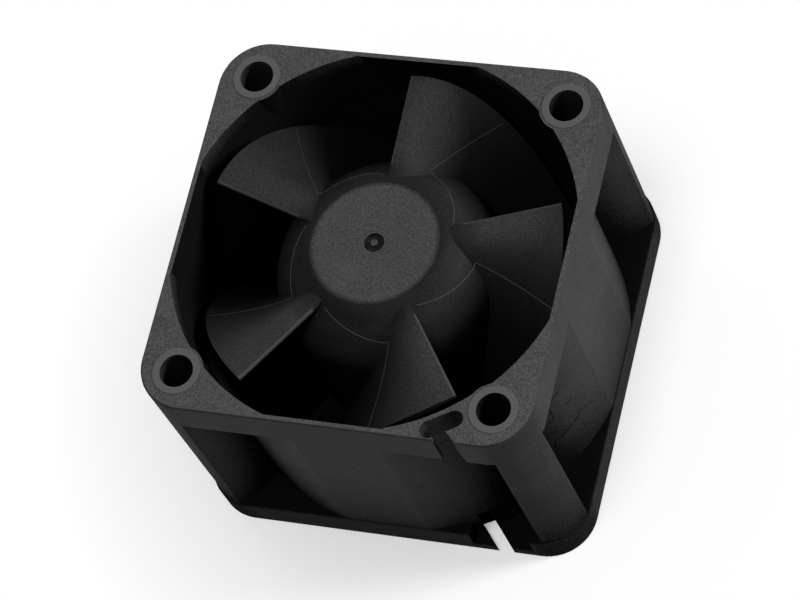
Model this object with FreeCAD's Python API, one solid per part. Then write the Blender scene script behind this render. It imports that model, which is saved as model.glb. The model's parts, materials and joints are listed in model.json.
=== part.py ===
import FreeCAD, Part
import math
import os

from FreeCAD import Placement, Rotation, Vector

# Axial server fan, 40 x 40 x 28 mm, lying on its exhaust face.
# Origin: centre of the exhaust face.  +Z: along the fan axis to the intake face.
# Every length is in millimetres and every angle in degrees.

# Frame
FLANGE_SIZE = 40.0
BODY_SIZE = 39.7
FAN_DEPTH = 28.0
REAR_FLANGE_THICKNESS = 3.2
FRONT_FLANGE_THICKNESS = 4.5
CORNER_RADIUS = 4.75
EDGE_ROUND = 0.25
BARREL_RADIUS = 20.35
HOLE_PITCH = 32.0
HOLE_RADIUS = 1.7
HOLE_PAD_RADIUS = 2.4
HOLE_PAD_HEIGHT = 0.06
HOLE_TUBE_RADIUS = 2.7
POCKET_EDGE = 16.05
POCKET_FOOT = (12.6, 15.9)

# Reach of one part of a moulding into the next
FUSE_DEPTH = 0.5
SEAT_OVERLAP = 0.4

# Duct, from the intake face inwards: steep cone, knee, wider-angled cone, cylinder
THROAT_RADIUS = 18.9
INTAKE_RADIUS = 20.3
INTAKE_HALF_WIDTH = 19.3
KNEE_RADIUS = 19.6
KNEE_HEIGHT = 20.5
THROAT_TOP = 15.0
EXHAUST_CHAMFER = 0.5

# Wire slot through the intake flange, walled off from the duct
SLOT_HEAD_ENDS = ((10.2, -18.75), (12.45, -17.4))
SLOT_HEAD_RADIUS = 0.87
SLOT_NECK = ((10.7, -18.9), (10.85, -20.5), (13.9, -20.5), (11.85, -18.7))
SLOT_WALL_RADIUS = 20.05
SLOT_WALL_THICKNESS = 0.45
SLOT_WALL_DEPTH = 6.0
SLOT_WALL_ANGLES = (-73.0, -46.0)

# Wire channel from the motor base to the side of the exhaust flange
CHANNEL_MOUTH = (11.65, -20.0)
CHANNEL_HEADING = 131.5
CHANNEL_WIDTH = 1.2
CHANNEL_HEIGHT = 4.7
CHANNEL_WALL = 0.7
CHANNEL_LENGTH = 13.6
LIP_THICKNESS = 0.9
LIP_RECESS = (8.4, 14.7)

# Motor base and guide vanes
HUB_RADIUS = 11.2
BASE_FLOOR = 1.2
BASE_RIM_TOP = 3.5
BASE_RIM_WALL = 0.8
BASE_RECESS_RADIUS = 10.0
BASE_RECESS_DEPTH = 0.25
TUBE_BOSS_WALL = 0.6
BOARD_LEDGE = 0.6
HUB_GAP = 0.4
VANE_COUNT = 7
VANE_HEIGHT = 8.0
VANE_THICKNESS = 1.0
VANE_SWEEP = 2.6
VANE_BOW = 0.65
VANE_THINNING = 0.4
CHANNEL_VANE_ANGLE = -67.0

# Impeller
HUB_TOP = 27.0
HUB_FLAT_RADIUS = 6.9
HUB_SHOULDER = 22.6
HUB_SHOULDER_ROUND = 2.2
HUB_SKIRT_ROUND = 3.0
HUB_BOTTOM = 4.0
HUB_WALL = 1.0
HUB_NOSE_WALL = 1.3
BUSH_BOSS_WALL = 1.0
GATE_DIMPLE_RADIUS = 1.0
GATE_DIMPLE_DEPTH = 0.35
GATE_VESTIGE_RADIUS = 0.35
BLADE_COUNT = 5
BLADE_TIP_RADIUS = 18.45
BLADE_CREST_HEIGHT = 26.5
BLADE_CREST_ANGLE = 5.0
BLADE_ROOT_ANGLE = 22.2
BLADE_TIP_ANGLE = 20.7
BLADE_WRAP = 59.0
BLADE_CAMBER = 0.0052
BLADE_THICKNESS = 0.9
BLADE_LEAD_THICKNESS = 0.5
BLADE_LEAD_ROUND = 0.2
BLADE_FULL_FROM = 0.25
BLADE_FULL_TO = 0.5
BLADE_TRAIL_THICKNESS = 0.4
BLADE_ROOT_RADIUS = 6.5
BLADE_STEPS = 8

# Rotor inside the hub
YOKE_RADIUS = 10.2
YOKE_WALL = 0.5
YOKE_BOTTOM = 4.5
YOKE_TOP = 18.8
MAGNET_BORE = 8.5
MAGNET_BOTTOM = 5.0
MAGNET_TOP = 15.6
BUSH_RADIUS = 2.2
BUSH_FLANGE_RADIUS = 3.3
BUSH_BOTTOM = 18.0
BUSH_TOP = 21.0
BUSH_FLANGE = 0.8
SHAFT_RADIUS = 1.0
SHAFT_BOTTOM = 0.4
CLIP_BOTTOM = 0.95
CLIP_THICKNESS = 0.3
CLIP_RADIUS = 1.75
CLIP_BAND = 0.5
CLIP_TOOTH_WIDTH = 0.6
CLIP_MOUTH = 1.5
GROOVE_RADIUS = 0.8

# Ball bearings, 2 x 5 x 2.3
BEARING_RADIUS = 2.5
BEARING_WIDTH = 2.3
RACE_OUTER_BORE = 2.08
RACE_INNER_RADIUS = 1.42
BALL_PITCH_RADIUS = 1.75
BALL_RADIUS = 0.4
BALL_COUNT = 7
RACE_CLEARANCE = 0.02
CAGE_WALL = 0.14
CAGE_BELOW = 0.25
CAGE_ABOVE = 0.75
REAR_BEARING_BOTTOM = 1.45
FRONT_BEARING_BOTTOM = 14.4
TUBE_RADIUS = 3.1
TUBE_BOTTOM = 1.2
TUBE_TOP = 17.2
TUBE_SHOULDER_BORE = 2.2
SPRING_WIRE = 0.25
SPRING_END_GAP = 0.02
SPRING_TURNS = 3.0
SPRING_RADIUS = 1.5

# Stator
POLE_COUNT = 4
CORE_BOTTOM = 6.6
CORE_TOP = 13.4
CORE_RING_RADIUS = 4.4
POLE_WIDTH = 2.2
POLE_FACE_RADIUS = 8.0
POLE_SHOE_DEPTH = 0.9
POLE_SHOE_ANGLE = 74.0
INSULATOR_THICKNESS = 0.5
INSULATOR_LIP = 1.9
INSULATOR_LIP_WALL = 0.4
INSULATOR_MARGIN = 0.2
COIL_INNER = 4.75
COIL_OUTER = 6.6
COIL_HALF_WIDTH = 2.5
COIL_OVERHANG = 1.7
COIL_ROUND = 1.36

# Circuit board
BOARD_RADIUS = 9.9
BOARD_FLAT = 9.4
BOARD_BORE = 3.2
BOARD_BOTTOM = 2.3
BOARD_THICKNESS = 0.7
PIN_CIRCLE = 4.1
PIN_RADIUS = 0.22
PIN_END = 0.5
CHIP_CENTRE = (-5.6, 2.0)
CHIP_SIZE = (2.6, 3.4)
CHIP_HEIGHT = 0.9
HALL_CENTRE = (6.6, 0.0)
HALL_SIZE = (1.3, 2.6)
HALL_HEIGHT = 0.8
SMALL_PART_SIZE = (1.0, 0.6)
SMALL_PART_HEIGHT = 0.5
SMALL_PART_CENTRES = ((-2.0, 6.6), (0.2, 6.6), (2.4, 6.6), (-5.4, -2.6), (-5.4, -4.0), (5.6, 3.4))
SOLDER_ROW = 18.2
SOLDER_COUNT = 4
SOLDER_PITCH = 1.6
SOLDER_RADIUS = 0.7
SOLDER_HEIGHT = 0.6

OUTPUT_FOLDER = "parts"
AXIS = Vector(0, 0, 1)
ORIGIN = Vector(0, 0, 0)


def cylinder(radius, bottom, top, x=0.0, y=0.0):
    return Part.makeCylinder(radius, top - bottom, Vector(x, y, bottom), AXIS)


def ring(outer, inner, bottom, top):
    return cylinder(outer, bottom, top).cut(cylinder(inner, bottom - 1, top + 1))


def block(x_range, y_range, z_range):
    size = [high - low for low, high in (x_range, y_range, z_range)]
    return Part.makeBox(*size, Vector(x_range[0], y_range[0], z_range[0]))


def turned(shape, angle):
    copy = shape.copy()
    copy.rotate(ORIGIN, AXIS, angle)
    return copy


def pattern(shape, count, start=0.0):
    return [turned(shape, start + 360.0 * index / count) for index in range(count)]


def prism(points, bottom, top):
    corners = [Vector(x, y, bottom) for x, y in points]
    outline = Part.makePolygon(corners + corners[:1])
    return Part.Face(outline).extrude(Vector(0, 0, top - bottom))


def revolved(profile_edges):
    return Part.Face(Part.Wire(profile_edges)).revolve(ORIGIN, AXIS, 360)


def profile_line(start, end):
    return Part.makeLine(Vector(start[0], 0, start[1]), Vector(end[0], 0, end[1]))


def revolved_polygon(points):
    closed = list(points) + [points[0]]
    return revolved([profile_line(a, b) for a, b in zip(closed, closed[1:])])


def rounded_square(size, radius, bottom, top):
    half = size / 2
    square = block((-half, half), (-half, half), (bottom, top))
    upright = [edge for edge in square.Edges if abs(edge.tangentAt(edge.FirstParameter).z) > 0.9]
    return square.makeFillet(radius, upright)


def rounded_rim(shape, height):
    rim = [edge for edge in shape.Edges
           if abs(edge.BoundBox.ZMin - height) < 1e-4 and abs(edge.BoundBox.ZMax - height) < 1e-4]
    return shape.makeFillet(EDGE_ROUND, rim)


def corner_points():
    half = HOLE_PITCH / 2
    return [(half, half), (-half, half), (-half, -half), (half, -half)]


# ---------------------------------------------------------------- housing

def pocket_cutter():
    """Four-sided pattern of the pockets between the barrel and the corner posts."""
    far = FLANGE_SIZE
    foot_x, foot_y = POCKET_FOOT
    edge_y = BODY_SIZE / 2
    slope = (POCKET_EDGE - foot_x) / (edge_y - foot_y)
    inner = (foot_x - slope * 3.0, foot_y - 3.0)
    outline = [(0, far), (0, 12.0), inner, (POCKET_EDGE, edge_y), (POCKET_EDGE, far)]
    mirrored = [(-x, y) for x, y in outline]
    bottom = REAR_FLANGE_THICKNESS
    top = FAN_DEPTH - FRONT_FLANGE_THICKNESS
    wedge = prism(outline, bottom, top).fuse(prism(mirrored, bottom, top))
    wedge = wedge.cut(cylinder(BARREL_RADIUS, bottom - 1, top + 1))
    return pattern(wedge, 4)


def duct_cutter():
    """Air passage: exhaust chamfer, throat, and an inlet of two cones cut flat on four sides."""
    above = FAN_DEPTH + 1
    inlet = revolved_polygon([(0, THROAT_TOP), (THROAT_RADIUS, THROAT_TOP), (KNEE_RADIUS, KNEE_HEIGHT),
                              (INTAKE_RADIUS, FAN_DEPTH), (INTAKE_RADIUS, above), (0, above)])
    half = INTAKE_HALF_WIDTH
    inlet = inlet.common(block((-half, half), (-half, half), (THROAT_TOP, above)))
    throat = cylinder(THROAT_RADIUS, -1, THROAT_TOP)
    flare_out = Part.makeCone(THROAT_RADIUS + EXHAUST_CHAMFER, THROAT_RADIUS, EXHAUST_CHAMFER)
    return throat.fuse([flare_out, inlet])


def capsule(ends, radius, bottom, top):
    """Straight slot with round ends between two points."""
    (x0, y0), (x1, y1) = ends
    length = math.hypot(x1 - x0, y1 - y0)
    heading = math.degrees(math.atan2(y1 - y0, x1 - x0))
    body = block((0, length), (-radius, radius), (bottom, top))
    body = body.fuse(cylinder(radius, bottom, top)).fuse(cylinder(radius, bottom, top, x=length))
    body.Placement = Placement(Vector(x0, y0, 0), Rotation(AXIS, heading))
    return body


def wire_slot_cutter():
    bottom = FAN_DEPTH - FRONT_FLANGE_THICKNESS - 1
    top = FAN_DEPTH + 1
    head = capsule(SLOT_HEAD_ENDS, SLOT_HEAD_RADIUS, bottom, top)
    return head.fuse(prism(SLOT_NECK, bottom, top))


def slot_wall():
    """Thin wall that keeps the wire slot apart from the bellmouth."""
    start, end = SLOT_WALL_ANGLES
    bottom = FAN_DEPTH - SLOT_WALL_DEPTH
    top = FAN_DEPTH - HOLE_PAD_HEIGHT
    wall = ring(SLOT_WALL_RADIUS + SLOT_WALL_THICKNESS, SLOT_WALL_RADIUS, bottom, top)
    reach = 2 * FLANGE_SIZE
    sector = [(0, 0)]
    for angle in (start, (start + end) / 2, end):
        sector.append((reach * math.cos(math.radians(angle)), reach * math.sin(math.radians(angle))))
    half = BODY_SIZE / 2
    wall = wall.common(prism(sector, bottom, top))
    return wall.common(block((-half, half), (-half, half), (bottom, top)))


def along_channel(x_range, half_width, z_range):
    """Block laid along the wire channel, measured inwards from its mouth."""
    shape = block(x_range, (-half_width, half_width), z_range)
    shape.Placement = Placement(Vector(*CHANNEL_MOUTH, 0), Rotation(AXIS, CHANNEL_HEADING))
    return shape


def lip_recess_cutter():
    """Recess in the side of the exhaust flange, above the lip that holds the wires."""
    half = FLANGE_SIZE / 2
    recess = block(LIP_RECESS, (-half - 1, -10), (LIP_THICKNESS, REAR_FLANGE_THICKNESS + 0.01))
    recess = recess.cut(cylinder(BARREL_RADIUS, -1, FAN_DEPTH))
    foot = [(x, -y) for x, y in
            ((POCKET_EDGE, FLANGE_SIZE), (POCKET_EDGE, BODY_SIZE / 2), POCKET_FOOT, (FLANGE_SIZE, 10))]
    return recess.cut(prism(foot, -1, FAN_DEPTH))


def guide_vane():
    """One stator vane: a curved strip that turns the swirl of the air back to the axis."""
    half = VANE_THICKNESS / 2
    root = HUB_RADIUS - BASE_RIM_WALL / 2
    middle = VANE_HEIGHT / 2
    front = Part.Arc(Vector(root, -half, 0), Vector(root, -half - VANE_BOW, middle),
                     Vector(root, VANE_THINNING - half - VANE_SWEEP, VANE_HEIGHT)).toShape()
    back = Part.Arc(Vector(root, half, 0), Vector(root, half - VANE_BOW, middle),
                    Vector(root, half - VANE_SWEEP, VANE_HEIGHT)).toShape()
    top = Part.makeLine(front.Vertexes[-1].Point, back.Vertexes[-1].Point)
    bottom = Part.makeLine(front.Vertexes[0].Point, back.Vertexes[0].Point)
    section = Part.Face(Part.Wire(Part.__sortEdges__([front, top, back, bottom])))
    return section.extrude(Vector(THROAT_RADIUS + SEAT_OVERLAP - root, 0, 0))


def motor_base():
    """Dish that carries the bearing tube and the circuit board, with a shallow recess below."""
    inner = HUB_RADIUS - BASE_RIM_WALL
    floor = cylinder(HUB_RADIUS, 0, BASE_FLOOR)
    rim = ring(HUB_RADIUS, inner, 0, BASE_RIM_TOP)
    boss = ring(TUBE_RADIUS + TUBE_BOSS_WALL, TUBE_RADIUS, 0, BOARD_BOTTOM)
    ledge = ring(inner, BOARD_RADIUS - BOARD_LEDGE, 0, BOARD_BOTTOM)
    base = floor.fuse([rim, boss, ledge])
    recess = cylinder(BASE_RECESS_RADIUS, -1, BASE_RECESS_DEPTH)
    return base.cut(recess).cut(cylinder(BEARING_RADIUS, -1, BASE_FLOOR + 1))


def build_housing():
    front_height = FAN_DEPTH - HOLE_PAD_HEIGHT
    rear = rounded_square(FLANGE_SIZE, CORNER_RADIUS, 0, REAR_FLANGE_THICKNESS)
    rear = rounded_rim(rear, 0)
    body = rounded_square(BODY_SIZE, CORNER_RADIUS, FUSE_DEPTH, front_height)
    body = rounded_rim(body, front_height)
    frame = rear.fuse(body).cut(pocket_cutter()).cut(duct_cutter())
    tubes = [cylinder(HOLE_TUBE_RADIUS, FAN_DEPTH - FRONT_FLANGE_THICKNESS, front_height, x, y)
             for x, y in corner_points()]
    pads = [cylinder(HOLE_PAD_RADIUS, front_height - FUSE_DEPTH, FAN_DEPTH, x, y)
            for x, y in corner_points()]
    holes = [cylinder(HOLE_RADIUS, -1, FAN_DEPTH + 1, x, y) for x, y in corner_points()]
    frame = frame.fuse(tubes + pads + [slot_wall()])
    roof = CHANNEL_HEIGHT + CHANNEL_WALL
    channel = along_channel((0, CHANNEL_LENGTH), CHANNEL_WIDTH / 2 + CHANNEL_WALL, (0, roof))
    channel = channel.common(cylinder(THROAT_RADIUS + SEAT_OVERLAP, 0, roof))
    vanes = pattern(guide_vane(), VANE_COUNT, CHANNEL_VANE_ANGLE)[1:]
    carrier = channel.fuse(vanes).cut([cylinder(HUB_RADIUS - BASE_RIM_WALL / 2, -1, FAN_DEPTH),
                                       cylinder(HUB_RADIUS + HUB_GAP, BASE_RIM_TOP, FAN_DEPTH)])
    frame = frame.fuse([carrier, motor_base()])
    slit = along_channel((-1, CHANNEL_LENGTH), CHANNEL_WIDTH / 2, (-1, CHANNEL_HEIGHT))
    slit = slit.cut(cylinder(HUB_RADIUS - BASE_RIM_WALL - 0.2, -2, FAN_DEPTH))
    return frame.cut(holes + [wire_slot_cutter(), lip_recess_cutter(), slit]).removeSplitter()


# --------------------------------------------------------------- impeller

def hub_profile():
    """Outer line of the hub: flat top, rounded shoulder, cone, rounded skirt, straight wall."""
    corners = [Vector(0, 0, HUB_TOP), Vector(HUB_FLAT_RADIUS, 0, HUB_TOP),
               Vector(HUB_RADIUS, 0, HUB_SHOULDER), Vector(HUB_RADIUS, 0, HUB_BOTTOM)]
    rounds = [HUB_SHOULDER_ROUND, HUB_SKIRT_ROUND]
    edges = []
    start = corners[0]
    for before, corner, after, radius in zip(corners, corners[1:], corners[2:], rounds):
        into = (corner - before).normalize()
        out = (after - corner).normalize()
        half_turn = into.getAngle(out) / 2
        reach = radius * math.tan(half_turn)
        first = corner - into * reach
        last = corner + out * reach
        inward = (out - into).normalize()
        middle = corner + inward * (radius / math.cos(half_turn) - radius)
        edges += [Part.makeLine(start, first), Part.Arc(first, middle, last).toShape()]
        start = last
    return edges + [Part.makeLine(start, corners[-1])]


def hub_solid():
    edges = hub_profile()
    edges += [profile_line((HUB_RADIUS, HUB_BOTTOM), (0, HUB_BOTTOM)),
              profile_line((0, HUB_BOTTOM), (0, HUB_TOP))]
    return revolved(edges)


def blade_point(fraction, radius, depth_offset):
    """Point on a blade: each radial line sinks with the square of its angle from the crest."""
    span = (radius - HUB_RADIUS) / (BLADE_TIP_RADIUS - HUB_RADIUS)
    lead = BLADE_ROOT_ANGLE + (BLADE_TIP_ANGLE - BLADE_ROOT_ANGLE) * span
    wrap = BLADE_WRAP * fraction
    angle = math.radians(lead - wrap)
    height = BLADE_CREST_HEIGHT - BLADE_CAMBER * (wrap - BLADE_CREST_ANGLE) ** 2 - depth_offset
    return Vector(radius * math.cos(angle), radius * math.sin(angle), height)


def blade_depth(fraction, radius):
    """Blade thickness measured along the axis, even in the wall as the blade steepens."""
    behind_crest = BLADE_WRAP * fraction - BLADE_CREST_ANGLE
    slope = 2 * BLADE_CAMBER * behind_crest / (math.radians(1) * radius)
    lead = (BLADE_THICKNESS - BLADE_LEAD_THICKNESS) * max(0.0, 1 - fraction / BLADE_FULL_FROM)
    trail = (BLADE_THICKNESS - BLADE_TRAIL_THICKNESS) * max(0.0, (fraction - BLADE_FULL_TO)
                                                            / (1 - BLADE_FULL_TO))
    return (BLADE_THICKNESS - lead - trail) * math.hypot(1.0, slope)


def blade_curve(radius, side):
    """Chord line of a blade at one radius; side 0 is the intake face, side 1 the back."""
    points = []
    for step in range(BLADE_STEPS + 1):
        fraction = step / BLADE_STEPS
        points.append(blade_point(fraction, radius, side * blade_depth(fraction, radius)))
    curve = Part.BSplineCurve()
    curve.interpolate(points)
    return curve.toShape()


def is_between(edge, start, end):
    ends = [vertex.Point for vertex in edge.Vertexes]
    return all(min(point.distanceToPoint(near) for near in ends) < 1e-4 for point in (start, end))


def blade_solid():
    """Twisted blade bounded by ruled faces between its root and tip chord lines."""
    chords = [blade_curve(BLADE_ROOT_RADIUS, 0), blade_curve(BLADE_TIP_RADIUS, 0),
              blade_curve(BLADE_TIP_RADIUS, 1), blade_curve(BLADE_ROOT_RADIUS, 1)]
    faces = [Part.makeRuledSurface(a, b, 1) for a, b in zip(chords, chords[1:] + chords[:1])]
    for end in (0, -1):
        root_front, tip_front, tip_back, root_back = [chord.Vertexes[end].Point for chord in chords]
        root_line = Part.makeLine(root_front, root_back)
        tip_line = Part.makeLine(tip_front, tip_back)
        faces.append(Part.makeRuledSurface(root_line, tip_line, 1))
    shell = Part.makeShell(faces)
    shell.sewShape()
    solid = Part.Solid(shell)
    solid.fix(1e-6, 1e-6, 1e-6)
    lead_points = [chord.Vertexes[0].Point for chord in chords]
    lead_edges = [edge for edge in solid.Edges if is_between(edge, *lead_points[:2])
                  or is_between(edge, *lead_points[2:])]
    return solid.makeFillet(BLADE_LEAD_ROUND, lead_edges)


def build_impeller():
    """Hub and blades in one moulding, hollow for the yoke, with a boss for the shaft bush."""
    body = hub_solid().fuse(pattern(blade_solid(), BLADE_COUNT))
    cup = cylinder(YOKE_RADIUS, HUB_BOTTOM - 1, YOKE_TOP)
    boss = BUSH_FLANGE_RADIUS + BUSH_BOSS_WALL
    skirt = HUB_RADIUS - HUB_WALL
    nose_floor = YOKE_TOP - FUSE_DEPTH
    nose_top = HUB_TOP - HUB_NOSE_WALL
    nose = revolved_polygon([(boss, nose_floor), (skirt, nose_floor), (skirt, HUB_SHOULDER - HUB_WALL),
                             (HUB_FLAT_RADIUS - HUB_WALL, nose_top), (boss, nose_top)])
    bush_seat = cylinder(BUSH_RADIUS, YOKE_TOP - 1, BUSH_TOP)
    flange_seat = cylinder(BUSH_FLANGE_RADIUS, YOKE_TOP - 1, YOKE_TOP + BUSH_FLANGE)
    dimple = ring(GATE_DIMPLE_RADIUS, GATE_VESTIGE_RADIUS, HUB_TOP - GATE_DIMPLE_DEPTH, HUB_TOP + 1)
    return body.cut([cup, nose, bush_seat, flange_seat, dimple])


# ------------------------------------------------------- rotor in the hub

def build_rotor_yoke():
    shell = ring(YOKE_RADIUS, YOKE_RADIUS - YOKE_WALL, YOKE_BOTTOM, YOKE_TOP)
    return shell.fuse(ring(YOKE_RADIUS, BUSH_RADIUS, YOKE_TOP - YOKE_WALL, YOKE_TOP)).removeSplitter()


def build_rotor_magnet():
    return ring(YOKE_RADIUS - YOKE_WALL, MAGNET_BORE, MAGNET_BOTTOM, MAGNET_TOP)


def build_shaft_bush():
    body = ring(BUSH_RADIUS, SHAFT_RADIUS, BUSH_BOTTOM, BUSH_TOP)
    flange = ring(BUSH_FLANGE_RADIUS, SHAFT_RADIUS, YOKE_TOP, YOKE_TOP + BUSH_FLANGE)
    return body.fuse(flange).removeSplitter()


def build_shaft():
    shaft = cylinder(SHAFT_RADIUS, SHAFT_BOTTOM, BUSH_TOP)
    groove = ring(SHAFT_RADIUS + 1, GROOVE_RADIUS, CLIP_BOTTOM, CLIP_BOTTOM + CLIP_THICKNESS)
    return shaft.cut(groove)


def build_retaining_clip():
    """E-clip: open ring with three inward teeth that grip the groove of the shaft."""
    top = CLIP_BOTTOM + CLIP_THICKNESS
    inner = CLIP_RADIUS - CLIP_BAND
    half = CLIP_TOOTH_WIDTH / 2
    band = ring(CLIP_RADIUS, inner, CLIP_BOTTOM, top)
    tooth = block((0, (inner + CLIP_RADIUS) / 2), (-half, half), (CLIP_BOTTOM, top))
    clip = band.fuse([turned(tooth, angle) for angle in (0, 90, 180)])
    mouth = block((-CLIP_MOUTH / 2, CLIP_MOUTH / 2), (-CLIP_RADIUS - 1, -half), (CLIP_BOTTOM, top))
    return clip.cut([mouth, cylinder(GROOVE_RADIUS, CLIP_BOTTOM, top)]).removeSplitter()


def build_preload_spring():
    """Compression spring of square wire between the front bearing and the shaft bush."""
    half = SPRING_WIRE / 2
    bottom = FRONT_BEARING_BOTTOM + BEARING_WIDTH + half + SPRING_END_GAP
    height = BUSH_BOTTOM - half - SPRING_END_GAP - bottom
    helix = Part.makeHelix(height / SPRING_TURNS, height, SPRING_RADIUS)
    inner = SPRING_RADIUS - half
    outer = SPRING_RADIUS + half
    corners = [Vector(inner, 0, -half), Vector(outer, 0, -half), Vector(outer, 0, half),
               Vector(inner, 0, half), Vector(inner, 0, -half)]
    spring = Part.Wire(helix.Edges).makePipeShell([Part.makePolygon(corners)], True, True)
    spring.translate(Vector(0, 0, bottom))
    return spring


# -------------------------------------------------------------- bearings

def ball_path(centre_height):
    """Torus that leaves a running clearance round the balls."""
    return Part.makeTorus(BALL_PITCH_RADIUS, BALL_RADIUS + RACE_CLEARANCE, Vector(0, 0, centre_height))


def build_bearing(bottom):
    """Outer ring, inner ring, balls and cage of one deep-groove ball bearing."""
    top = bottom + BEARING_WIDTH
    centre = (bottom + top) / 2
    outer = ring(BEARING_RADIUS, RACE_OUTER_BORE, bottom, top).cut(ball_path(centre))
    inner = ring(RACE_INNER_RADIUS, SHAFT_RADIUS, bottom, top).cut(ball_path(centre))
    ball = Part.makeSphere(BALL_RADIUS, Vector(BALL_PITCH_RADIUS, 0, centre))
    balls = Part.makeCompound(pattern(ball, BALL_COUNT))
    cage = ring(BALL_PITCH_RADIUS + CAGE_WALL, BALL_PITCH_RADIUS - CAGE_WALL,
                centre - CAGE_BELOW, centre + CAGE_ABOVE)
    pocket = Part.makeCylinder(BALL_RADIUS + RACE_CLEARANCE, BEARING_RADIUS, Vector(0, 0, centre),
                               Vector(1, 0, 0))
    cage = cage.cut(pattern(pocket, BALL_COUNT))
    return {"outer": outer, "inner": inner, "balls": balls, "cage": cage}


def build_bearing_tube():
    tube = ring(TUBE_RADIUS, BEARING_RADIUS, TUBE_BOTTOM, TUBE_TOP)
    shoulder = ring(TUBE_RADIUS, TUBE_SHOULDER_BORE, REAR_BEARING_BOTTOM + BEARING_WIDTH,
                    FRONT_BEARING_BOTTOM)
    return tube.fuse(shoulder).removeSplitter()


# ---------------------------------------------------------------- stator

def build_stator_core():
    hub = cylinder(CORE_RING_RADIUS, CORE_BOTTOM, CORE_TOP)
    shoe_back = POLE_FACE_RADIUS - POLE_SHOE_DEPTH
    arm_reach = (POLE_FACE_RADIUS + shoe_back) / 2
    arm = block((0, arm_reach), (-POLE_WIDTH / 2, POLE_WIDTH / 2), (CORE_BOTTOM, CORE_TOP))
    shoe = ring(POLE_FACE_RADIUS, shoe_back, CORE_BOTTOM, CORE_TOP)
    half = math.radians(POLE_SHOE_ANGLE / 2)
    reach = 2 * POLE_FACE_RADIUS
    edge = (reach * math.cos(half), reach * math.sin(half))
    shoe = shoe.common(prism([(0, 0), (edge[0], -edge[1]), (reach, 0), edge], CORE_BOTTOM, CORE_TOP))
    core = hub.fuse(pattern(arm, POLE_COUNT) + pattern(shoe, POLE_COUNT))
    return core.cut(cylinder(TUBE_RADIUS, 0, FAN_DEPTH)).removeSplitter()


def build_insulator(bottom, lip_side):
    """Moulded end bobbin: collar, four arms and outer lips that hold the windings."""
    top = bottom + INSULATOR_THICKNESS
    lip_bottom, lip_top = (bottom, top + INSULATOR_LIP) if lip_side > 0 else (bottom - INSULATOR_LIP, top)
    collar = cylinder(CORE_RING_RADIUS, lip_bottom, lip_top)
    half = POLE_WIDTH / 2 + INSULATOR_MARGIN
    reach = COIL_OUTER + INSULATOR_LIP_WALL
    arm = block((0, reach), (-half, half), (bottom, top))
    lip = block((COIL_OUTER, reach), (-COIL_HALF_WIDTH, COIL_HALF_WIDTH), (lip_bottom, lip_top))
    body = collar.fuse(pattern(arm, POLE_COUNT) + pattern(lip, POLE_COUNT))
    return body.cut(cylinder(TUBE_RADIUS, 0, FAN_DEPTH)).removeSplitter()


def build_coil():
    """Winding round one pole, with rounded outer corners."""
    bottom = CORE_BOTTOM - INSULATOR_THICKNESS - COIL_OVERHANG
    top = CORE_TOP + INSULATOR_THICKNESS + COIL_OVERHANG
    body = block((COIL_INNER, COIL_OUTER), (-COIL_HALF_WIDTH, COIL_HALF_WIDTH), (bottom, top))
    along = [edge for edge in body.Edges if abs(edge.tangentAt(edge.FirstParameter).x) > 0.9]
    body = body.makeFillet(COIL_ROUND, along)
    half = POLE_WIDTH / 2 + INSULATOR_MARGIN
    window = block((0, POLE_FACE_RADIUS), (-half, half),
                   (CORE_BOTTOM - INSULATOR_THICKNESS, CORE_TOP + INSULATOR_THICKNESS))
    return body.cut(window)


# --------------------------------------------------------- circuit board

def pin_points():
    angles = [math.radians(45 + 90 * index) for index in range(POLE_COUNT)]
    return [(PIN_CIRCLE * math.cos(angle), PIN_CIRCLE * math.sin(angle)) for angle in angles]


def build_circuit_board():
    board = ring(BOARD_RADIUS, BOARD_BORE, BOARD_BOTTOM, BOARD_BOTTOM + BOARD_THICKNESS)
    flat = block((-BOARD_RADIUS, BOARD_RADIUS), (BOARD_FLAT, BOARD_RADIUS), (0, FAN_DEPTH))
    holes = [cylinder(PIN_RADIUS, 0, FAN_DEPTH, x, y) for x, y in pin_points()]
    return board.cut([flat] + holes)


def build_winding_pins():
    bottom = BOARD_BOTTOM - PIN_END
    top = CORE_BOTTOM - INSULATOR_THICKNESS - INSULATOR_LIP
    return Part.makeCompound([cylinder(PIN_RADIUS, bottom, top, x, y) for x, y in pin_points()])


def board_block(centre, size, height):
    """Package standing on the upper side of the board."""
    (x, y), (length, width) = centre, size
    base = BOARD_BOTTOM + BOARD_THICKNESS
    return block((x - length / 2, x + length / 2), (y - width / 2, y + width / 2), (base, base + height))


def build_driver_chip():
    return board_block(CHIP_CENTRE, CHIP_SIZE, CHIP_HEIGHT)


def build_hall_sensor():
    return board_block(HALL_CENTRE, HALL_SIZE, HALL_HEIGHT)


def build_board_components():
    return Part.makeCompound([board_block(centre, SMALL_PART_SIZE, SMALL_PART_HEIGHT)
                              for centre in SMALL_PART_CENTRES])


def build_solder_joints():
    """Four lead joints under the board, in line with the wire channel."""
    heading = math.radians(CHANNEL_HEADING)
    mouth_x, mouth_y = CHANNEL_MOUTH
    x0 = mouth_x + SOLDER_ROW * math.cos(heading)
    y0 = mouth_y + SOLDER_ROW * math.sin(heading)
    joints = []
    for index in range(SOLDER_COUNT):
        shift = (index - (SOLDER_COUNT - 1) / 2) * SOLDER_PITCH
        x = x0 - shift * math.sin(heading)
        y = y0 + shift * math.cos(heading)
        joints.append(Part.makeCone(SOLDER_RADIUS * 0.5, SOLDER_RADIUS, SOLDER_HEIGHT,
                                    Vector(x, y, BOARD_BOTTOM - SOLDER_HEIGHT), AXIS))
    return Part.makeCompound(joints)


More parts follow.
